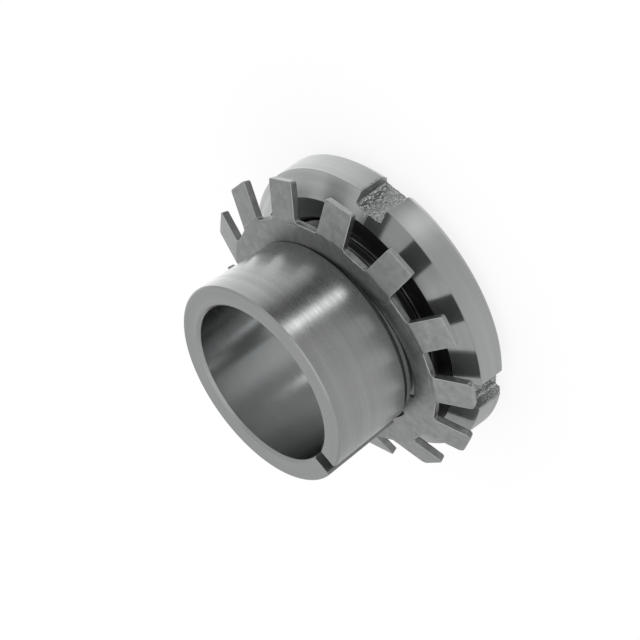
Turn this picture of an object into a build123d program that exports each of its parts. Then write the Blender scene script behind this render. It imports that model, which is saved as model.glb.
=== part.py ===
"""Bearing adapter sleeve with its lock washer and slotted lock nut, for a 25 mm shaft.

The sleeve stands on its threaded end. The origin is on the bore's axis, in the plane
that the sleeve stands on. +Z runs up to the large end and the slit faces -X.
All lengths are in millimetres and all angles in degrees.
"""
import math
import os

from build123d import *

# Sleeve
bore_diameter = 25.0
large_end_wall = 3.3
sleeve_length = 27.0
taper_ratio = 12.0
thread_wall = 2.485
thread_end_chamfer = 1.0
bore_chamfer = 0.4
rim_chamfer = 0.25
slit_width = 2.6
slit_bore_edge_radius = 0.5
slit_outer_edge_radius = 0.5
keyway_width = 7.2
keyway_edge_radius = 0.3

# Lock washer
washer_thickness = 1.25
washer_ring_width = 3.875
washer_lean = 4.3
washer_high_side = -28.4
washer_turn = 3.3
outer_tab_count = 13
outer_tab_length = 5.5
outer_tab_width = 4.9
outer_tab_bend = 22.0
tab_bend_radius = 0.6
tab_tip_radius = 0.7
tab_root_radius = 0.5
inner_tab_width = 4.9
inner_tab_reach = 2.1
inner_tab_root_radius = 0.3

# Lock nut
nut_wall = 7.465
nut_face_width = 3.965
nut_width = 7.0
nut_back_height = 1.1
nut_front_bevel = 30.0
nut_back_chamfer = 1.0
nut_bore_chamfer = 0.9
spanner_slot_count = 4
spanner_slot_width = 5.0
spanner_slot_depth = 2.0
spanner_slot_turn = 21.6

# Clearances, and the room for the washer between the nut and the end of the taper
thread_clearance = 0.05
washer_bore_clearance = 0.14
washer_seat_clearance = 0.05
washer_room = 5.7

# Radii and heights that follow from the sizes above
bore_radius = bore_diameter / 2
large_end_radius = bore_radius + large_end_wall
radius_per_height = 1 / (2 * taper_ratio)
nut_front_height = nut_back_height + nut_width
taper_end_height = nut_front_height + washer_room
taper_length = sleeve_length - taper_end_height
taper_end_radius = large_end_radius - taper_length * radius_per_height
thread_radius = bore_radius + thread_wall
washer_bore_radius = thread_radius + washer_bore_clearance
washer_ring_radius = washer_bore_radius + washer_ring_width
washer_tip_radius = washer_ring_radius + outer_tab_length
nut_bore_radius = thread_radius + thread_clearance
nut_radius = nut_bore_radius + nut_wall
nut_face_radius = nut_bore_radius + nut_face_width
rim_radius = large_end_radius - rim_chamfer * radius_per_height
slit_side = 180.0
slit_wall_count = 2


def slit_wall_edges(sleeve):
    """The edges of the slit's two walls above the keyway, from the outermost inwards."""
    upper_edges = sleeve.edges().filter_by_position(Axis.Z, taper_end_height, sleeve_length)
    slit_side_edges = upper_edges.filter_by_position(Axis.X, -large_end_radius, 0)
    wall_edges = slit_side_edges.filter_by_position(Axis.Y, -slit_width / 2, slit_width / 2)
    long_edge_count = slit_wall_count * 2
    return wall_edges.sort_by(SortBy.LENGTH)[-long_edge_count:].sort_by(Axis.X)


# Sleeve: a turned tube, conical from its large end down to the blank for the thread
with BuildPart() as adapter_sleeve:
    with BuildSketch(Plane.XZ):
        with BuildLine():
            Polyline(
                (bore_radius + bore_chamfer, 0),
                (taper_end_radius, 0),
                (taper_end_radius, taper_end_height),
                (rim_radius, sleeve_length - rim_chamfer),
                (rim_radius - rim_chamfer, sleeve_length),
                (bore_radius + bore_chamfer, sleeve_length),
                (bore_radius, sleeve_length - bore_chamfer),
                (bore_radius, bore_chamfer),
                close=True,
            )
        make_face()
    revolve(axis=Axis.Z)

    # Slit from end to end, which lets the sleeve close on the shaft
    with BuildSketch(Plane.XY):
        with Locations((-large_end_radius, 0)):
            Rectangle(large_end_radius, slit_width)
    extrude(amount=sleeve_length, mode=Mode.SUBTRACT)

    # Keyway through the threaded half of the same wall, for the washer's inner tab
    with BuildSketch(Plane.XY):
        with Locations((-large_end_radius, 0)):
            Rectangle(large_end_radius, keyway_width)
    extrude(amount=taper_end_height, mode=Mode.SUBTRACT)
    fillet(slit_wall_edges(adapter_sleeve)[:slit_wall_count], slit_outer_edge_radius)
    fillet(slit_wall_edges(adapter_sleeve)[-slit_wall_count:], slit_bore_edge_radius)

    # The blank below the taper is turned down to the thread, with a lead-in at its end
    with BuildSketch(Plane.XZ):
        with BuildLine():
            Polyline(
                (thread_radius - thread_end_chamfer, 0),
                (thread_radius, thread_end_chamfer),
                (thread_radius, taper_end_height),
                (large_end_radius, taper_end_height),
                (large_end_radius, 0),
                close=True,
            )
        make_face()
    revolve(axis=Axis.Z, mode=Mode.SUBTRACT)
    keyway_edges = adapter_sleeve.edges().filter_by(Axis.Z).sort_by(Axis.X)
    fillet(keyway_edges[:slit_wall_count], keyway_edge_radius)

# Lock washer: it hangs on the thread, leaning until its bore meets the end of the taper
lean = math.radians(washer_lean)
high_side = math.radians(washer_high_side)
washer_normal = Vector(
    -math.sin(lean) * math.cos(high_side),
    -math.sin(lean) * math.sin(high_side),
    math.cos(lean),
)
washer_front_height = (
    taper_end_height - washer_seat_clearance - washer_bore_radius * math.sin(lean)
)
turn = math.radians(washer_turn)
washer_front = Plane(
    (0, 0, washer_front_height),
    x_dir=(math.cos(turn), math.sin(turn), 0),
    z_dir=washer_normal,
)
washer_section = Plane(washer_front.origin, x_dir=washer_front.x_dir, z_dir=-washer_front.y_dir)
bend = math.radians(outer_tab_bend)
tab_drop = (washer_tip_radius - washer_ring_radius) * math.tan(bend)
back_bend_radius = washer_ring_radius - washer_thickness * math.tan(bend / 2)
washer_middle_radius = (washer_bore_radius + washer_ring_radius) / 2
inner_tab_tip_radius = washer_bore_radius - inner_tab_reach

with BuildPart() as lock_washer:
    # The flat ring and the bent tabs share one section, turned about the washer's axis
    with BuildSketch(washer_section) as washer_profile:
        with BuildLine():
            Polyline(
                (0, 0),
                (washer_ring_radius, 0),
                (washer_tip_radius, -tab_drop),
                (
                    washer_tip_radius - washer_thickness * math.sin(bend),
                    -tab_drop - washer_thickness * math.cos(bend),
                ),
                (back_bend_radius, -washer_thickness),
                (0, -washer_thickness),
                close=True,
            )
        make_face()
        back_bend, front_bend = washer_profile.vertices().sort_by(Axis.X)[2:-2]
        fillet(front_bend, tab_bend_radius + washer_thickness)
        fillet(back_bend, tab_bend_radius)
    revolve(axis=Axis(washer_front.origin, washer_normal))

    # The outline that the die stamps out, cut straight through that turned form
    with BuildSketch(washer_front) as washer_outline:
        Circle(washer_ring_radius)
        with PolarLocations(
            (washer_bore_radius + washer_tip_radius) / 2,
            outer_tab_count,
            start_angle=slit_side,
        ):
            Rectangle(washer_tip_radius - washer_bore_radius, outer_tab_width)
        corners = washer_outline.vertices().sort_by_distance((0, 0))
        fillet(corners[: 2 * outer_tab_count], tab_root_radius)
        corners = washer_outline.vertices().sort_by_distance((0, 0))
        fillet(corners[-2 * outer_tab_count :], tab_tip_radius)
        Circle(washer_bore_radius, mode=Mode.SUBTRACT)
        with Locations((-inner_tab_tip_radius, 0)):
            Rectangle(
                washer_middle_radius - inner_tab_tip_radius,
                inner_tab_width,
                align=(Align.MAX, Align.CENTER),
            )
        corners = washer_outline.vertices().sort_by_distance((-washer_bore_radius, 0))
        fillet(corners[:2], inner_tab_root_radius)
    extrude(amount=washer_tip_radius, both=True, mode=Mode.INTERSECT)

# Lock nut: a turned ring with a long bevel towards the washer and four spanner slots
bevel_height = (nut_radius - nut_face_radius) * math.tan(math.radians(nut_front_bevel))

with BuildPart() as lock_nut:
    with BuildSketch(Plane.XZ):
        with BuildLine():
            Polyline(
                (nut_bore_radius + nut_bore_chamfer, nut_back_height),
                (nut_radius - nut_back_chamfer, nut_back_height),
                (nut_radius, nut_back_height + nut_back_chamfer),
                (nut_radius, nut_front_height - bevel_height),
                (nut_face_radius, nut_front_height),
                (nut_bore_radius + nut_bore_chamfer, nut_front_height),
                (nut_bore_radius, nut_front_height - nut_bore_chamfer),
                (nut_bore_radius, nut_back_height + nut_bore_chamfer),
                close=True,
            )
        make_face()
    revolve(axis=Axis.Z)
    with BuildSketch(Plane.XY.offset(nut_back_height)):
        with PolarLocations(nut_radius, spanner_slot_count, start_angle=spanner_slot_turn):
            Rectangle(2 * spanner_slot_depth, spanner_slot_width)
    extrude(amount=nut_width, mode=Mode.SUBTRACT)

adapter_sleeve.part.label = "adapter_sleeve"
lock_washer.part.label = "lock_washer"
lock_nut.part.label = "lock_nut"

os.makedirs("parts", exist_ok=True)
export_step(adapter_sleeve.part, "parts/adapter_sleeve.step")
export_step(lock_washer.part, "parts/lock_washer.step")
export_step(lock_nut.part, "parts/lock_nut.step")
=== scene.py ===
"""Bearing adapter sleeve with its lock washer and slotted lock nut.

The pieces are modelled in millimetres, in the frame of the solids, and scaled to
metres as they are finished. The sleeve stands on its threaded end, +Z runs up to the
large end and the slit faces -X.
"""

import math

import bmesh
import bpy
from mathutils import Matrix, Vector, noise


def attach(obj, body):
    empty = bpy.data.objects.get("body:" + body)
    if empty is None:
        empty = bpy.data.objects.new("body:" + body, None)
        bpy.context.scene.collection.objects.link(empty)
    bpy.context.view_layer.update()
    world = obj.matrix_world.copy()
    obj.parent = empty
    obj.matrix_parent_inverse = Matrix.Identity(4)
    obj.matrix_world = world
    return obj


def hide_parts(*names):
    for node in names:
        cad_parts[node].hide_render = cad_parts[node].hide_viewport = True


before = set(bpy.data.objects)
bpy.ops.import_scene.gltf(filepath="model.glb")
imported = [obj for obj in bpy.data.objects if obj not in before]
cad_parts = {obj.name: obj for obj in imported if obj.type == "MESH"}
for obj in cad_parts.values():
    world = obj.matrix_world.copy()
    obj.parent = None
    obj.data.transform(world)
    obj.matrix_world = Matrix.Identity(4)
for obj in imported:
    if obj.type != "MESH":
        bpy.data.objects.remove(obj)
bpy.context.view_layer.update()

mm = 0.001
full_turn = 2 * math.pi
merge_distance = 0.0002
sliver = 0.004
sharp_angle = math.radians(38.0)
corner_steps = 3

# Sizes of the sleeve
bore_radius = 12.5
large_end_radius = 15.8
sleeve_length = 27.0
taper_end_height = 13.8
taper_ratio = 12.0
radius_per_height = 1 / (2 * taper_ratio)
thread_radius = 14.985
thread_end_chamfer = 1.0
bore_chamfer = 0.4
rim_chamfer = 0.25
slit_width = 2.6
slit_edge_radius = 0.5
slit_middle_heights = (17.0, 20.0, 23.0)
keyway_width = 7.2
keyway_edge_radius = 0.3
wall_edge_steps = 8
relief_groove_width = 0.65
relief_groove_depth = 0.35
corner_break = 0.08

# Thread; its rows and the half widths of its crest and root are in shares of the pitch
pitch = 1.5
thread_depth = 0.812
thread_fade_start = 12.3
thread_fade_end = 12.5
thread_clearance = 0.05
thread_columns = 288
thread_rows = (-0.085, -0.04, 0.04, 0.085, 0.16, 0.25, 0.345, 0.42, 0.58, 0.655, 0.75, 0.84)
crest_half = 0.0625
root_half = 0.125

# Sizes of the lock washer
washer_thickness = 1.1
washer_bore_clearance = 0.14
washer_bore_radius = thread_radius + washer_bore_clearance
washer_bore_steps = 90
washer_ring_radius = 19.0
washer_tip_radius = 24.44
washer_lean = math.radians(4.3)
washer_high_side = math.radians(-28.4)
washer_turn = math.radians(3.3)
washer_seat_clearance = 0.05
outer_tab_count = 13
outer_tab_width = 4.9
outer_tab_bend = math.radians(22.0)
tab_bend_radius = 0.75
tab_gap_steps = 4
tab_root_radius = 0.5
tab_root_steps = 5
tab_tip_radius = 0.42
tab_tip_steps = 6
tab_tip_margin = 0.05
blunt_tab_tip_radius = 0.75
blunt_tabs = (0, 1, 12)
inner_tab_width = 4.9
inner_tab_reach = 2.1
inner_tab_chamfer = 0.2
inner_tab_root_radius = 0.3
front_edge_break = 0.08
back_edge_break = 0.2
edge_break_steps = 3
round_profile = 0.5
outline_merge = 0.01

# Bend of a tab; the crease has shares of its depth at distances past the start of the bend
bend_rows = 6
crease_depth = 0.07
crease_profile = ((-0.3, 0.0), (-0.16, 1.0), (0.05, 0.9), (0.5, 0.0))

# Sizes of the lock nut
nut_bore_radius = thread_radius + thread_clearance
nut_radius = 22.5
nut_face_radius = 19.0
nut_width = 7.0
nut_back_height = 1.1
nut_front_height = nut_back_height + nut_width
nut_bevel = math.radians(30.0)
nut_back_chamfer = 1.0
nut_bore_chamfer = 0.9
nut_corner_break = 0.12
slot_count = 4
slot_width = 5.0
slot_depth = 2.0
slot_turn = math.radians(21.6)
slot_edge_radius = 0.2
slot_corner_radius = 0.35
slot_corner_steps = 5
slot_step = 0.15

# Rough floors of the slots: a grain that is drawn out towards the axis, and a finer one
slot_roughness = 0.17
slot_grain = 0.26
slot_grain_stretch = 3.0
slot_grain_shift = 40.0
slot_fine_ratio = 2.3
slot_fine_share = 0.5
slot_smooth_rim = 0.5

# How far cutters go: past the ends, into the bore, past the outside as a factor, into each other
cutter_margin = 1.0
cutter_reach = 1.5
cutter_flare = 1.1
cutter_overlap = 0.5

# Finishes of sleeve and nut, as numbers of material slots; 5 is the sleeve's bore or the nut's bevel
edge_finish = 0
turned_finish = 1
faced_finish = 2
# Finish 3 is very dark thread steel: painted shade on the threads, the sleeve's relief groove floor
# and the nut's front face
painted_shade_finish = 3
cut_finish = 4
bore_finish = 5
bevel_finish = 5
brushed_bevel_finish = 6

# Finishes of the washer, as numbers of its material slots
sheet_finish = 0
side_finish = 1
# Finish 2 is lighter steel on the front edge breaks, a painted highlight
painted_highlight_break_finish = 2
tip_finish = 3


# Numbers, directions and outlines


def clamped(value, low=0, high=1):
    """The value, kept between low and high."""
    return min(high, max(low, value))


def between(profile, place):
    """The value at a place along a profile of (place, value), and 0 past its ends."""
    for (start, first), (end, second) in zip(profile, profile[1:]):
        if start <= place <= end:
            return first + (second - first) * (place - start) / (end - start)
    return 0.0


def direction(around, above):
    """A unit vector at an angle round the Z axis and an angle above the floor."""
    return Vector(
        (math.cos(above) * math.cos(around), math.cos(above) * math.sin(around), math.sin(above))
    )


def arc(centre, start, end, radius, steps):
    """Points on an arc from one angle to another."""
    points = []
    for step in range(steps + 1):
        angle = start + (end - start) * step / steps
        points.append((centre[0] + radius * math.cos(angle), centre[1] + radius * math.sin(angle)))
    return points


def mirrored(side):
    """One side of an outline and then its mirror image across the X axis."""
    return side + [(x, -y) for x, y in reversed(side)]


def flared(point):
    """A point on the outside of a piece, moved straight out."""
    return (point[0] * cutter_flare, point[1] * cutter_flare)


def rounded(corners):
    """A closed outline of (x, y, radius, finish) with its corners rounded, as (x, y, finish)."""
    outline = []
    for number, (x, y, radius, finish) in enumerate(corners):
        if radius == 0:
            outline.append((x, y, finish))
            continue
        here = Vector((x, y))
        before = Vector(corners[number - 1][:2]) - here
        after = Vector(corners[(number + 1) % len(corners)][:2]) - here
        before.normalize()
        after.normalize()
        half = before.angle(after) / 2
        reach = radius / math.tan(half)
        centre = here + (before + after).normalized() * radius / math.sin(half)
        first = here + before * reach - centre
        last = here + after * reach - centre
        for step in range(corner_steps + 1):
            spoke = first.slerp(last, step / corner_steps).normalized() * radius
            outline.append((*(centre + spoke), finish if step == corner_steps else edge_finish))
    return outline


# Turned and cut forms


def plain_rows(corners):
    """Rows of a turned form that stay at one radius and height all the way round."""
    return [
        (lambda angle, radius=radius, height=height: (radius, height), finish)
        for radius, height, finish in rounded(corners)
    ]


def thread_share(phase):
    """How deep the thread is at a phase of its pitch, from 0 on the crest to 1 at the root."""
    away = abs((phase + 0.5) % 1 - 0.5)
    return clamped((away - crest_half) / (0.5 - crest_half - root_half))


def threaded_rows(low, high, radius_at, finish):
    """Rows that climb with the helix from one height to another, one pitch a turn."""
    rows = []
    first = math.floor(low / pitch) - 1
    last = math.ceil(high / pitch)
    for turn in range(first, last + 1):
        for offset in thread_rows:

            def place(angle, base=(turn + offset) * pitch):
                """Radius and height of this row at an angle."""
                height = clamped(base + pitch * angle / full_turn, low, high)
                phase = height / pitch - angle / full_turn
                return radius_at(height, phase), height

            rows.append((place, finish))
    return rows


def turned(rows):
    """A closed turned form: every row runs round the axis and joins the next one."""
    form = bmesh.new()
    grid = []
    for column in range(thread_columns + 1):
        angle = full_turn * column / thread_columns
        line = []
        for place, finish in rows:
            radius, height = place(angle)
            line.append(form.verts.new((radius * math.cos(angle), radius * math.sin(angle), height)))
        grid.append(line)
    for left, right in zip(grid, grid[1:]):
        for number, (place, finish) in enumerate(rows):
            above = (number + 1) % len(rows)
            face = form.faces.new((left[number], right[number], right[above], left[above]))
            face.material_index = finish
    # After a full turn a row meets itself, or the next pitch if it climbs, and is merged with it
    bmesh.ops.remove_doubles(form, verts=form.verts, dist=merge_distance)
    bmesh.ops.recalc_face_normals(form, faces=form.faces)
    return form


def lofted(sections):
    """A cutter through outlines of (x, y) at their heights, in the finish that it leaves."""
    form = bmesh.new()
    loops = [[form.verts.new((x, y, height)) for x, y in outline] for outline, height in sections]
    count = len(loops[0])
    for lower, upper in zip(loops, loops[1:]):
        for number in range(count):
            after = (number + 1) % count
            form.faces.new((lower[number], lower[after], upper[after], upper[number]))
    form.faces.new(loops[0])
    form.faces.new(loops[-1])
    for face in form.faces:
        face.material_index = cut_finish
    bmesh.ops.recalc_face_normals(form, faces=form.faces)
    return form


# Objects


def linked(name, data):
    """An object of a mesh, a lamp or a camera, in the scene."""
    made = bpy.data.objects.new(name, data)
    bpy.context.scene.collection.objects.link(made)
    return made


def new_object(name, form, materials=()):
    """An object of that form, dressed in its materials, in the scene."""
    mesh = bpy.data.meshes.new(name)
    for material in materials:
        mesh.materials.append(material)
    form.to_mesh(mesh)
    form.free()
    return linked(name, mesh)


def cut(piece, cutters):
    """Takes the cutters out of the piece's mesh, and out of the scene."""
    for cutter in cutters:
        modifier = piece.modifiers.new("cut", "BOOLEAN")
        modifier.operation = "DIFFERENCE"
        modifier.solver = "MANIFOLD"
        modifier.object = cutter
    shaped = piece.evaluated_get(bpy.context.evaluated_depsgraph_get())
    mesh = bpy.data.meshes.new_from_object(shaped)
    piece.modifiers.clear()
    form = bmesh.new()
    form.from_mesh(mesh)
    bmesh.ops.dissolve_degenerate(form, dist=sliver, edges=form.edges)
    form.to_mesh(mesh)
    form.free()
    piece.data = mesh
    for cutter in cutters:
        bpy.data.objects.remove(cutter)


def finished(piece, node, body):
    """Scales the piece to metres, shades it, and puts it in its node's place."""
    mesh = piece.data
    mesh.transform(Matrix.Diagonal((mm, mm, mm, 1)))
    mesh.polygons.foreach_set("use_smooth", [True] * len(mesh.polygons))
    mesh.set_sharp_from_angle(angle=sharp_angle)
    normals = piece.modifiers.new("flat faces", "WEIGHTED_NORMAL")
    normals.keep_sharp = True
    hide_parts(node)
    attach(piece, body)


# Steel: its tints, its turning marks and stains, and how strongly they show
cool_tint = (0.97, 1.0, 1.005)
warm_tint = (1.03, 1.0, 0.96)
rings_per_metre = 5000.0
coarse_ring_ratio = 6
coarse_grain_ratio = 4
stains_per_metre = 160.0
fine_travel = 0.6
coarse_travel = 0.4
ring_detail = 2.0
cloud_detail = 4.0
noise_roughness = 0.6
noise_low = 0.3
noise_high = 0.7
scratch_share = 0.6
stain_share = 0.4
gloss_change = 0.12
quarter_turn = 0.25


def grey(level):
    """The cool grey of bare steel at that level."""
    return tuple(level * tint for tint in cool_tint)


def add(tree, kind, inputs=(), **settings):
    """A node with its settings and inputs; an input that is a socket is linked."""
    made = tree.nodes.new(kind)
    for name, value in settings.items():
        setattr(made, name, value)
    for name, value in dict(inputs).items():
        if isinstance(value, bpy.types.NodeSocket):
            tree.links.new(value, made.inputs[name])
        else:
            made.inputs[name].default_value = value
    return made


def product(tree, value, factor):
    """A value times a number."""
    return add(tree, "ShaderNodeMath", {0: value, 1: factor}, operation="MULTIPLY").outputs[0]


def spread(tree, value, low, high):
    """Noise, stretched to run all the way from low to high."""
    ranges = {"From Min": noise_low, "From Max": noise_high, "To Min": low, "To Max": high}
    return add(tree, "ShaderNodeMapRange", {"Value": value, **ranges}).outputs["Result"]


def ring_marks(tree, place, per_metre, travel):
    """Noise that is drawn out round the Z axis, as a turning tool leaves it.

    Each mark follows a circle through the noise, and travel is that circle's radius.
    """
    flat = add(
        tree, "ShaderNodeVectorMath", {0: place, 1: (1.0, 1.0, 0.0)}, operation="MULTIPLY"
    ).outputs["Vector"]
    radius = add(tree, "ShaderNodeVectorMath", {0: flat}, operation="LENGTH").outputs["Value"]
    along = add(tree, "ShaderNodeVectorMath", {0: flat}, operation="NORMALIZE").outputs["Vector"]
    parts = add(tree, "ShaderNodeSeparateXYZ", {"Vector": along}).outputs
    height = add(tree, "ShaderNodeSeparateXYZ", {"Vector": place}).outputs["Z"]
    ring = {
        "X": product(tree, parts["X"], travel),
        "Y": product(tree, parts["Y"], travel),
        "Z": product(tree, radius, per_metre),
    }
    settings = {
        "Vector": add(tree, "ShaderNodeCombineXYZ", ring).outputs["Vector"],
        "W": product(tree, height, per_metre),
        "Scale": 1.0,
        "Detail": ring_detail,
        "Roughness": noise_roughness,
    }
    return add(tree, "ShaderNodeTexNoise", settings, noise_dimensions="4D").outputs["Fac"]


def cloud(tree, place, per_metre):
    """Plain noise of one size in every direction."""
    settings = {
        "Vector": place,
        "Scale": per_metre,
        "Detail": cloud_detail,
        "Roughness": noise_roughness,
    }
    return add(tree, "ShaderNodeTexNoise", settings).outputs["Fac"]


def blended(tree, share, first, second):
    """Two colours mixed by a share."""
    mix = add(tree, "ShaderNodeMix", data_type="RGBA")
    sockets = [socket for socket in mix.inputs if socket.type == "RGBA"]
    tree.links.new(share, mix.inputs["Factor"])
    for socket, colour in zip(sockets, (first, second)):
        if isinstance(colour, bpy.types.NodeSocket):
            tree.links.new(colour, socket)
        else:
            socket.default_value = (*colour, 1.0)
    return [socket for socket in mix.outputs if socket.type == "RGBA"][0]


def steel(name, dark, light, roughness, grain=None, relief=0.001, brushed=0.0, metal=1.0):
    """Steel with turning marks or a grain, cloudy tints and uneven gloss.

    grain is in marks per metre, relief is the height of marks or grain in millimetres,
    brushed is how far reflections are drawn out across the turning marks, and metal is
    the share of the surface that a film of oil and dust leaves bare.
    """
    material = bpy.data.materials.new(name)
    material.use_nodes = True
    tree = material.node_tree
    shader = tree.nodes["Principled BSDF"]
    place = add(tree, "ShaderNodeTexCoord").outputs["Object"]
    if grain is None:
        fine = ring_marks(tree, place, rings_per_metre, fine_travel)
        coarse = ring_marks(tree, place, rings_per_metre / coarse_ring_ratio, coarse_travel)
    else:
        fine = cloud(tree, place, grain)
        coarse = cloud(tree, place, grain / coarse_grain_ratio)
    stains = cloud(tree, place, stains_per_metre)
    marks = blended(tree, spread(tree, coarse, 0.0, 1.0), dark, light)
    scratched = blended(tree, spread(tree, fine, 0.0, scratch_share), marks, dark)
    warm = tuple(channel * tint for channel, tint in zip(light, warm_tint))
    colour = blended(tree, spread(tree, stains, 0.0, stain_share), scratched, warm)
    tree.links.new(colour, shader.inputs["Base Color"])
    change = gloss_change * roughness
    uneven = add(
        tree,
        "ShaderNodeMath",
        {
            0: spread(tree, fine, -change, change),
            1: spread(tree, stains, roughness - change, roughness + change),
        },
        operation="ADD",
    ).outputs[0]
    tree.links.new(uneven, shader.inputs["Roughness"])
    bump = add(tree, "ShaderNodeBump", {"Height": fine, "Strength": 1.0, "Distance": relief * mm})
    tree.links.new(bump.outputs["Normal"], shader.inputs["Normal"])
    shader.inputs["Metallic"].default_value = metal
    if brushed:
        shader.inputs["Anisotropic"].default_value = brushed
        shader.inputs["Anisotropic Rotation"].default_value = quarter_turn
        round_axis = add(tree, "ShaderNodeTangent", direction_type="RADIAL", axis="Z")
        tree.links.new(round_axis.outputs["Tangent"], shader.inputs["Tangent"])
    return material


edge_steel = steel("worn_edges", grey(0.23), grey(0.31), 0.32)
taper_steel = steel("turned_taper", grey(0.265), grey(0.33), 0.27, relief=0.0004, brushed=0.5)
face_steel = steel("faced_end", grey(0.25), grey(0.305), 0.36, brushed=0.3)
# Very dark steel: painted shade for the threads, groove floor and nut face, which sit in the gaps
# between the parts
painted_shade_thread_steel = steel("cut_thread_painted_shade", grey(0.11), grey(0.17), 0.36)
sawn_steel = steel("sawn_walls", grey(0.15), grey(0.25), 0.42, grain=3000.0, relief=0.01)
bore_steel = steel("honed_bore", grey(0.39), grey(0.47), 0.22, relief=0.0003, brushed=0.5)
nut_steel = steel("turned_nut", grey(0.345), grey(0.415), 0.42, brushed=0.4)
bevel_steel = steel("bevel_of_nut", grey(0.22), grey(0.27), 0.16, relief=0.0002, metal=0.8)
brushed_bevel_steel = steel("brushed_bevel", grey(0.34), grey(0.46), 0.4, brushed=0.4, metal=0.8)
milled_steel = steel("milled_slots", grey(0.2), grey(0.47), 0.28, grain=3200.0, relief=0.06)
sheet_steel = steel("rolled_sheet", grey(0.18), grey(0.305), 0.42, grain=3600.0, relief=0.012)
sheared_steel = steel("sheared_sides", grey(0.11), grey(0.27), 0.42, grain=2500.0, relief=0.02)
# Lighter steel on the washer's rounded front edges: a painted highlight along them
sheet_edge_painted_highlight_steel = steel("sheet_edges_painted_highlight", grey(0.25), grey(0.46), 0.36, grain=1500.0, relief=0.01)
tip_steel = steel("sheared_tips", grey(0.24), grey(0.38), 0.4, grain=2200.0, relief=0.02)


# Adapter sleeve


def taper_radius(height):
    """Radius of the outer cone at a height."""
    return large_end_radius - (sleeve_length - height) * radius_per_height


def sleeve_thread(height, phase):
    """Radius of the sleeve's thread, which starts at a chamfer and fades into a plain land."""
    fade = (thread_fade_end - height) / (thread_fade_end - thread_fade_start)
    depth = thread_depth * clamped(fade) * thread_share(phase)
    return min(thread_radius - depth, thread_radius - thread_end_chamfer + height)


def wall_plan(width, outer_radius, edge_radius):
    """Plan of a cutter through the -X wall, whose sides flare into rounded edges."""
    side = width / 2 + edge_radius
    inner = (-math.sqrt((bore_radius + edge_radius) ** 2 - side**2), side)
    inner_touch = math.atan2(-inner[1], -inner[0])
    # Where the rounded edge meets the bore
    start = Vector(inner) * bore_radius / (bore_radius + edge_radius)
    upper = [(start.x + cutter_reach, start.y)]
    upper += arc(inner, inner_touch, -math.pi / 2, edge_radius, wall_edge_steps)
    outer = (-math.sqrt((outer_radius - edge_radius) ** 2 - side**2), side)
    outer_touch = math.atan2(outer[1], outer[0]) - full_turn
    upper += arc(outer, -math.pi / 2, outer_touch, edge_radius, wall_edge_steps)
    upper.append(flared(upper[-1]))
    return mirrored(upper)


land_end_height = taper_end_height - relief_groove_width
groove_radius = thread_radius - relief_groove_depth
rim_radius = taper_radius(sleeve_length - rim_chamfer)
sleeve_rows = plain_rows(
    [
        (thread_radius, thread_fade_end + corner_break, 0, turned_finish),
        (thread_radius, land_end_height, 0, cut_finish),
        # The groove's floor wears the dark thread steel as painted shade
        (groove_radius, land_end_height, 0, painted_shade_finish),
        (groove_radius, taper_end_height, 0, faced_finish),
        (taper_radius(taper_end_height), taper_end_height, corner_break, turned_finish),
        (rim_radius, sleeve_length - rim_chamfer, corner_break, edge_finish),
        (rim_radius - rim_chamfer, sleeve_length, corner_break, faced_finish),
        (bore_radius + bore_chamfer, sleeve_length, corner_break, edge_finish),
        (bore_radius, sleeve_length - bore_chamfer, corner_break, bore_finish),
        (bore_radius, bore_chamfer, corner_break, edge_finish),
        (bore_radius + bore_chamfer, 0, corner_break, faced_finish),
        (thread_radius - thread_end_chamfer, 0, 0, painted_shade_finish),
    ]
)
sleeve_rows += threaded_rows(0, thread_fade_end, sleeve_thread, painted_shade_finish)
adapter_sleeve = new_object(
    "adapter_sleeve_turned",
    turned(sleeve_rows),
    [edge_steel, taper_steel, face_steel, painted_shade_thread_steel, sawn_steel, bore_steel],
)

slit_heights = (
    taper_end_height - cutter_overlap,
    taper_end_height,
    *slit_middle_heights,
    sleeve_length,
    sleeve_length + cutter_margin,
)
slit_sections = [
    (wall_plan(slit_width, taper_radius(height), slit_edge_radius), height)
    for height in slit_heights
]
keyway_plan = wall_plan(keyway_width, thread_radius, keyway_edge_radius)
keyway_sections = [(keyway_plan, -cutter_margin), (keyway_plan, taper_end_height)]
sleeve_cutters = [
    new_object("slit_cutter", lofted(slit_sections)),
    new_object("keyway_cutter", lofted(keyway_sections)),
]
cut(adapter_sleeve, sleeve_cutters)
finished(adapter_sleeve, "adapter_sleeve", "sleeve")


# Lock nut


def nut_thread(height, phase):
    """Radius of the nut's thread, opened by a chamfer at both ends of the bore."""
    thread = nut_bore_radius - thread_depth * thread_share(phase)
    from_end = min(height - nut_back_height, nut_front_height - height)
    return max(thread, nut_bore_radius + nut_bore_chamfer - from_end)


def slot_plan():
    """Plan of a cutter for a slot on the X axis, with its floor, corners and rounded edges."""
    floor_x = nut_radius - slot_depth
    corner_side = slot_width / 2 - slot_corner_radius
    corner = (floor_x + slot_corner_radius, corner_side)
    edge_side = slot_width / 2 + slot_edge_radius
    edge = (math.sqrt((nut_radius - slot_edge_radius) ** 2 - edge_side**2), edge_side)
    edge_touch = math.atan2(edge[1], edge[0])
    # The floor's points start half a step from the axis, so its middle step is a whole one
    steps = round(corner_side / slot_step)
    side = [(floor_x, corner_side * (step + 0.5) / (steps + 0.5)) for step in range(steps)]
    side += arc(corner, math.pi, math.pi / 2, slot_corner_radius, slot_corner_steps)
    side += arc(edge, -math.pi / 2, edge_touch, slot_edge_radius, slot_corner_steps)
    side.append(flared(side[-1]))
    return mirrored(side)


def slot_lift(x, y, height, number):
    """How far noise moves a slot's wall outwards: most at the floor, and nothing near the rim."""
    place = Vector((x / slot_grain_stretch, y, height)) / slot_grain
    place += Vector((0, 0, slot_grain_shift * number))
    rough = noise.noise(place) + slot_fine_share * noise.noise(place * slot_fine_ratio)
    near_floor = clamped((nut_radius - slot_smooth_rim - x) / (slot_depth - slot_smooth_rim))
    return slot_roughness * rough * near_floor


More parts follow.
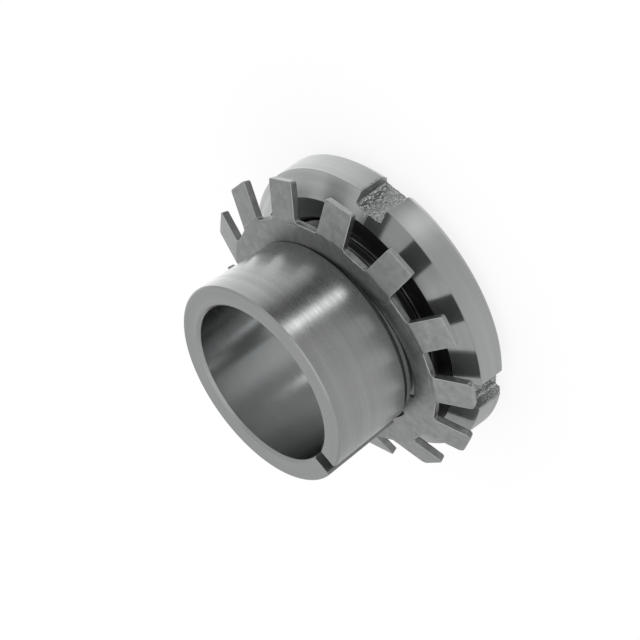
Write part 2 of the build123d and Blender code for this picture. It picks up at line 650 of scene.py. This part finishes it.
def slot_sections(number):
    """Rough outlines of one slot's cutter at their heights, from below the nut to above it."""
    turn = Matrix.Rotation(slot_turn + full_turn * number / slot_count, 2)
    length = nut_width + 2 * cutter_margin
    steps = round(length / slot_step)
    plan = slot_plan()
    sections = []
    for step in range(steps + 1):
        height = nut_back_height - cutter_margin + length * step / steps
        outline = [tuple(turn @ Vector((x + slot_lift(x, y, height, number), y))) for x, y in plan]
        sections.append((outline, height))
    return sections


bevel_height = (nut_radius - nut_face_radius) * math.tan(nut_bevel)
nut_rows = plain_rows(
    [
        (nut_bore_radius + nut_bore_chamfer, nut_back_height, 0, faced_finish),
        (nut_radius - nut_back_chamfer, nut_back_height, nut_corner_break, edge_finish),
        (nut_radius, nut_back_height + nut_back_chamfer, nut_corner_break, turned_finish),
        (nut_radius, nut_front_height - bevel_height, nut_corner_break, bevel_finish),
        # The nut's front face, in the washer's shade, wears the dark thread steel as painted shade
        (nut_face_radius, nut_front_height, nut_corner_break, painted_shade_finish),
        (nut_bore_radius + nut_bore_chamfer, nut_front_height, 0, painted_shade_finish),
    ]
)
nut_rows += reversed(threaded_rows(nut_back_height, nut_front_height, nut_thread, painted_shade_finish))
lock_nut = new_object(
    "lock_nut_turned",
    turned(nut_rows),
    [
        edge_steel,
        nut_steel,
        face_steel,
        painted_shade_thread_steel,
        milled_steel,
        bevel_steel,
        brushed_bevel_steel,
    ],
)
slot_cutters = [
    new_object("slot_cutter", lofted(slot_sections(number))) for number in range(slot_count)
]
cut(lock_nut, slot_cutters)

# Between two of its slots the bevel was brushed matt after turning
for face in lock_nut.data.polygons:
    around = math.atan2(face.center.y, face.center.x) - slot_turn
    if face.material_index == bevel_finish and -full_turn / slot_count < around < 0:
        face.material_index = brushed_bevel_finish
finished(lock_nut, "lock_nut", "nut")


# Lock washer: a stamped outline with its tabs bent along straight lines
sector = full_turn / outer_tab_count
bend_outside = washer_thickness + tab_bend_radius
bend_start = washer_ring_radius - bend_outside * math.tan(outer_tab_bend / 2)
# The middle of the sheet keeps its length in the bend
neutral_radius = tab_bend_radius + washer_thickness / 2
bend_length = neutral_radius * outer_tab_bend
bend_end_radius = bend_start + bend_outside * math.sin(outer_tab_bend)
tab_end = bend_start + bend_length + (washer_tip_radius - bend_end_radius) / math.cos(outer_tab_bend)


def tab_plan(tab_angle, tip_radius):
    """One sector of the outer outline: half a gap, the tab, and half a gap again."""
    half = outer_tab_width / 2
    root_y = half + tab_root_radius
    root_x = math.sqrt((washer_ring_radius + tab_root_radius) ** 2 - root_y**2)
    touch = math.atan2(root_y, root_x)
    tip = (tab_end - tip_radius, tip_radius - half)
    lower = arc((0, 0), -sector / 2, -touch, washer_ring_radius, tab_gap_steps)[:-1]
    lower += arc((root_x, -root_y), math.pi - touch, math.pi / 2, tab_root_radius, tab_root_steps)
    lower += arc(tip, -math.pi / 2, 0, tip_radius, tab_tip_steps)
    turn = Matrix.Rotation(tab_angle, 2)
    # The next sector starts at this one's last point
    return [tuple(turn @ Vector(point)) for point in mirrored(lower)[:-1]]


def outer_plan():
    """The washer's outer outline; the blunt tabs have larger corners at their tips."""
    outline = []
    for number in range(outer_tab_count):
        tip_radius = blunt_tab_tip_radius if number in blunt_tabs else tab_tip_radius
        outline += tab_plan(math.pi + number * sector, tip_radius)
    return outline


def inner_plan():
    """The outline of the washer's bore, with the straight inner tab on its -X side."""
    half = inner_tab_width / 2
    tip_x = inner_tab_reach - washer_bore_radius
    root_y = half + inner_tab_root_radius
    root_x = math.sqrt((washer_bore_radius - inner_tab_root_radius) ** 2 - root_y**2)
    root = (-root_x, root_y)
    touch = math.atan2(root_y, root_x)
    side = [(tip_x, 0.0), (tip_x, half - inner_tab_chamfer), (tip_x - inner_tab_chamfer, half)]
    side += arc(root, -math.pi / 2, -math.pi - touch, inner_tab_root_radius, tab_root_steps)
    side += arc((0, 0), math.pi - touch, 0, washer_bore_radius, washer_bore_steps)[1:]
    # The first and the last point lie on the X axis and are their own mirror images
    return side + [(x, -y) for x, y in reversed(side)][1:-1]


def flat_sheet():
    """The washer's outlines, filled as one flat sheet."""
    sheet = bmesh.new()
    rims = []
    for outline in (outer_plan(), inner_plan()):
        loop = [sheet.verts.new((x, y, 0)) for x, y in outline]
        for number, vert in enumerate(loop):
            rims.append(sheet.edges.new((vert, loop[(number + 1) % len(loop)])))
    bmesh.ops.triangle_fill(sheet, use_beauty=True, edges=rims)
    return sheet


def divide(sheet):
    """Divides the flat sheet between its tabs, and across each tab where it is bent."""
    for number in range(outer_tab_count):
        border = math.pi + (number + 0.5) * sector
        across = Vector((-math.sin(border), math.cos(border), 0))
        everything = sheet.verts[:] + sheet.edges[:] + sheet.faces[:]
        bmesh.ops.bisect_plane(sheet, geom=everything, plane_co=(0, 0, 0), plane_no=across)
    distances = [past for past, share in crease_profile if past < 0]
    distances += [bend_length * row / bend_rows for row in range(bend_rows + 1)]
    for number in range(outer_tab_count):
        along = direction(math.pi + number * sector, 0)
        for past in distances:
            place = along * (bend_start + past)
            faces = [
                face for face in sheet.faces if face.calc_center_median().angle(along) < sector / 2
            ]
            near = set(faces)
            for face in faces:
                near.update(face.edges)
                near.update(face.verts)
            bmesh.ops.bisect_plane(sheet, geom=list(near), plane_co=place, plane_no=along)
    bmesh.ops.remove_doubles(sheet, verts=sheet.verts, dist=outline_merge)


def thicken(sheet):
    """Gives the flat sheet its thickness, downwards, and every side its finish."""
    for face in sheet.faces:
        if face.normal.z < 0:
            face.normal_flip()
    pulled = bmesh.ops.extrude_face_region(sheet, geom=sheet.faces[:], use_keep_orig=True)
    for item in pulled["geom"]:
        if isinstance(item, bmesh.types.BMVert):
            item.co.z -= washer_thickness
    bmesh.ops.recalc_face_normals(sheet, faces=sheet.faces)
    for face in sheet.faces:
        middle = face.calc_center_median()
        if abs(face.normal.z) > math.hypot(face.normal.x, face.normal.y):
            face.material_index = sheet_finish
        elif math.hypot(middle.x, middle.y) > tab_end - tab_tip_margin:
            face.material_index = tip_finish
        else:
            face.material_index = side_finish


def break_edges(sheet):
    """Rounds the edges of the stamped outline, a little in front and more at the back; the front
    edges get lighter steel as a painted highlight.
    """
    for height, edge_break, finish in (
        (0, front_edge_break, painted_highlight_break_finish),
        (-washer_thickness, back_edge_break, side_finish),
    ):
        sheet.normal_update()
        rim = [
            edge
            for edge in sheet.edges
            if all(abs(vert.co.z - height) < merge_distance for vert in edge.verts)
            and edge.calc_face_angle() > sharp_angle
        ]
        bmesh.ops.bevel(
            sheet,
            geom=rim,
            offset=edge_break,
            offset_type="OFFSET",
            segments=edge_break_steps,
            profile=round_profile,
            affect="EDGES",
            material=finish,
        )
    bmesh.ops.dissolve_degenerate(sheet, dist=sliver, edges=sheet.edges)


def bent(point):
    """Where a point of the flat washer goes when its outer tab is creased and bent back."""
    angle = math.atan2(point.y, point.x)
    tab_angle = math.pi + round((angle - math.pi) / sector) * sector
    local = Matrix.Rotation(-tab_angle, 3, "Z") @ point
    past = local.x - bend_start
    local.z -= crease_depth * between(crease_profile, past) * (1 + local.z / washer_thickness)
    if past > 0:
        curl = min(past / neutral_radius, outer_tab_bend)
        straight = max(0, past - bend_length)
        out = local.z + bend_outside
        local.x = bend_start + out * math.sin(curl) + straight * math.cos(curl)
        local.z = out * math.cos(curl) - bend_outside - straight * math.sin(curl)
    return Matrix.Rotation(tab_angle, 3, "Z") @ local


def hanging():
    """The washer's place on the thread, leaning until its bore meets the end of the taper."""
    normal = Vector(
        (
            -math.sin(washer_lean) * math.cos(washer_high_side),
            -math.sin(washer_lean) * math.sin(washer_high_side),
            math.cos(washer_lean),
        )
    )
    level = direction(washer_turn, 0)
    east = (level - normal * level.dot(normal)).normalized()
    north = normal.cross(east)
    leaning = Matrix((east, north, normal)).transposed().to_4x4()
    drop = washer_bore_radius * math.sin(washer_lean)
    height = taper_end_height - washer_seat_clearance - drop
    return Matrix.Translation((0, 0, height)) @ leaning


washer_form = flat_sheet()
divide(washer_form)
thicken(washer_form)
break_edges(washer_form)
for vert in washer_form.verts:
    vert.co = bent(vert.co.copy())
washer_form.normal_update()
washer_form.transform(hanging())
lock_washer = new_object(
    "lock_washer_stamped",
    washer_form,
    [sheet_steel, sheared_steel, sheet_edge_painted_highlight_steel, tip_steel],
)
finished(lock_washer, "lock_washer", "washer")


# Studio: a pale floor that glows where it is seen, and a white surround
white = (1.0, 1.0, 1.0, 1.0)
floor_half = 3.0
floor_colour = (0.95, 0.95, 0.95, 1.0)
floor_glow = 0.85


def ray_share(tree, kinds):
    """1 for rays of these kinds and 0 for the rest."""
    path = add(tree, "ShaderNodeLightPath")
    total = path.outputs[kinds[0]]
    for kind in kinds[1:]:
        total = add(
            tree, "ShaderNodeMath", {0: total, 1: path.outputs[kind]}, operation="MAXIMUM"
        ).outputs[0]
    return total


def empty_material(name):
    """A material whose node tree is still empty."""
    material = bpy.data.materials.new(name)
    material.use_nodes = True
    material.node_tree.nodes.clear()
    return material


world = bpy.context.scene.world or bpy.data.worlds.new("studio")
bpy.context.scene.world = world
world.use_nodes = True
tree = world.node_tree
tree.nodes.clear()
surround = add(tree, "ShaderNodeBackground", {"Color": white, "Strength": 1.0})
add(tree, "ShaderNodeOutputWorld", {"Surface": surround.outputs[0]})

floor_material = empty_material("floor")
tree = floor_material.node_tree
matt = add(tree, "ShaderNodeBsdfDiffuse", {"Color": floor_colour})
glow = add(tree, "ShaderNodeEmission", {"Color": white, "Strength": 1.0})
seen = ray_share(tree, ("Is Camera Ray", "Is Glossy Ray", "Is Transmission Ray"))
share = product(tree, seen, floor_glow)
mix = add(tree, "ShaderNodeMixShader", {0: share, 1: matt.outputs[0], 2: glow.outputs[0]})
add(tree, "ShaderNodeOutputMaterial", {"Surface": mix.outputs[0]})

floor_signs = ((-1, -1), (1, -1), (1, 1), (-1, 1))
floor_corners = [(x * floor_half, y * floor_half, 0) for x, y in floor_signs]
floor_mesh = bpy.data.meshes.new("floor")
floor_mesh.from_pydata(floor_corners, [], [range(len(floor_corners))])
floor_mesh.materials.append(floor_material)
floor = linked("floor", floor_mesh)
floor.visible_glossy = False


# What the steel's sides mirror: a white bowl with a softbox, a strip light and a dark card
bowl_radius = 0.6
bowl_columns = 180
bowl_rows = 40
bowl_top = math.radians(6.0)
bowl_foot = math.radians(30.0)
bowl_white = 1.0
# Brightness by azimuth in degrees; the foot of the bowl leads from white to these
bowl_levels = (
    (0, 1.35),
    (30, 1.5),
    (60, 1.7),
    (85, 0.95),
    (95, 0.78),
    (125, 0.8),
    (150, 0.9),
    (205, 0.88),
    (240, 0.78),
    (262, 0.7),
    (276, 0.5),
    (284, 0.45),
    (298, 0.2),
    (314, 0.15),
    (322, 0.4),
    (328, 0.8),
    (343, 1.2),
    (360, 1.35),
)
strip_azimuth = math.radians(290.0)
strip_half = math.radians(4.5)
strip_low = math.radians(-60.0)
strip_high = math.radians(-8.0)
strip_level = 3.6


def bowl_level(around, above):
    """Brightness of the bowl at an angle round the Z axis and an angle above the floor."""
    if abs(around - strip_azimuth) < strip_half and strip_low < above < strip_high:
        return strip_level
    side = between(bowl_levels, math.degrees(around))
    share = clamped((above + math.pi / 2) / bowl_foot)
    return bowl_white + (side - bowl_white) * share


bowl_points = []
bowl_brightness = []
for row in range(bowl_rows + 1):
    above = -math.pi / 2 + (bowl_top + math.pi / 2) * (row + 0.5) / (bowl_rows + 0.5)
    for column in range(bowl_columns):
        around = full_turn * column / bowl_columns
        bowl_points.append(direction(around, above) * bowl_radius)
        bowl_brightness.append(bowl_level(around, above))
bowl_faces = []
for row in range(bowl_rows):
    for column in range(bowl_columns):
        first = row * bowl_columns + column
        second = row * bowl_columns + (column + 1) % bowl_columns
        bowl_faces.append((first, second, second + bowl_columns, first + bowl_columns))
bowl_faces.append(range(bowl_columns))
bowl_mesh = bpy.data.meshes.new("bowl")
bowl_mesh.from_pydata(bowl_points, [], bowl_faces)
levels = bowl_mesh.color_attributes.new("level", "FLOAT_COLOR", "POINT")
for number, brightness in enumerate(bowl_brightness):
    levels.data[number].color = (brightness, brightness, brightness, 1.0)

bowl_material = empty_material("bowl")
bowl_material.cycles.emission_sampling = "NONE"
tree = bowl_material.node_tree
shade = add(tree, "ShaderNodeAttribute", attribute_name="level").outputs["Color"]
glow = add(tree, "ShaderNodeEmission", {"Color": shade, "Strength": 1.0})
add(tree, "ShaderNodeOutputMaterial", {"Surface": glow.outputs[0]})
bowl_mesh.materials.append(bowl_material)
bowl = linked("bowl", bowl_mesh)
bowl.visible_camera = False
bowl.visible_diffuse = False
bowl.visible_shadow = False
bowl.visible_transmission = False


# Soft square lamps
lamp_distance = 0.9


def lamp(name, azimuth, elevation, side, brightness):
    """A soft square lamp that faces the object, placed by angles in degrees."""
    data = bpy.data.lights.new(name, "AREA")
    data.shape = "RECTANGLE"
    data.size = side
    data.size_y = side
    data.energy = brightness * math.pi * side * side
    made = linked(name, data)
    way = direction(math.radians(azimuth), math.radians(elevation))
    made.location = way * lamp_distance
    made.rotation_euler = way.to_track_quat("Z", "Y").to_euler()


lamp("side_light", azimuth=235.0, elevation=55.0, side=0.7, brightness=0.5)
lamp("top_light", azimuth=150.0, elevation=60.0, side=0.8, brightness=0.3)


# Camera, with its focal length and sensor in millimetres
camera_target = Vector((1.589, -5.602, 16.274)) * mm
camera_distance = 698.79 * mm
camera_azimuth = math.radians(260.893)
camera_elevation = math.radians(27.752)
camera_roll = math.radians(-125.458)
camera_focal_length = 283.41
camera_sensor_width = 36.0
camera_clip_start = 0.05
camera_clip_end = 20.0

lens = bpy.data.cameras.new("camera")
lens.lens = camera_focal_length
lens.sensor_width = camera_sensor_width
lens.clip_start = camera_clip_start
lens.clip_end = camera_clip_end
camera = linked("camera", lens)
way = direction(camera_azimuth, camera_elevation)
right = Vector((-math.sin(camera_azimuth), math.cos(camera_azimuth), 0))
up = way.cross(right)
level_view = Matrix((right, up, way)).transposed()
rolled = level_view @ Matrix.Rotation(camera_roll, 3, "Z")
camera.matrix_world = Matrix.Translation(camera_target + way * camera_distance) @ rolled.to_4x4()
bpy.context.scene.camera = camera
bpy.context.scene.view_settings.view_transform = "Standard"
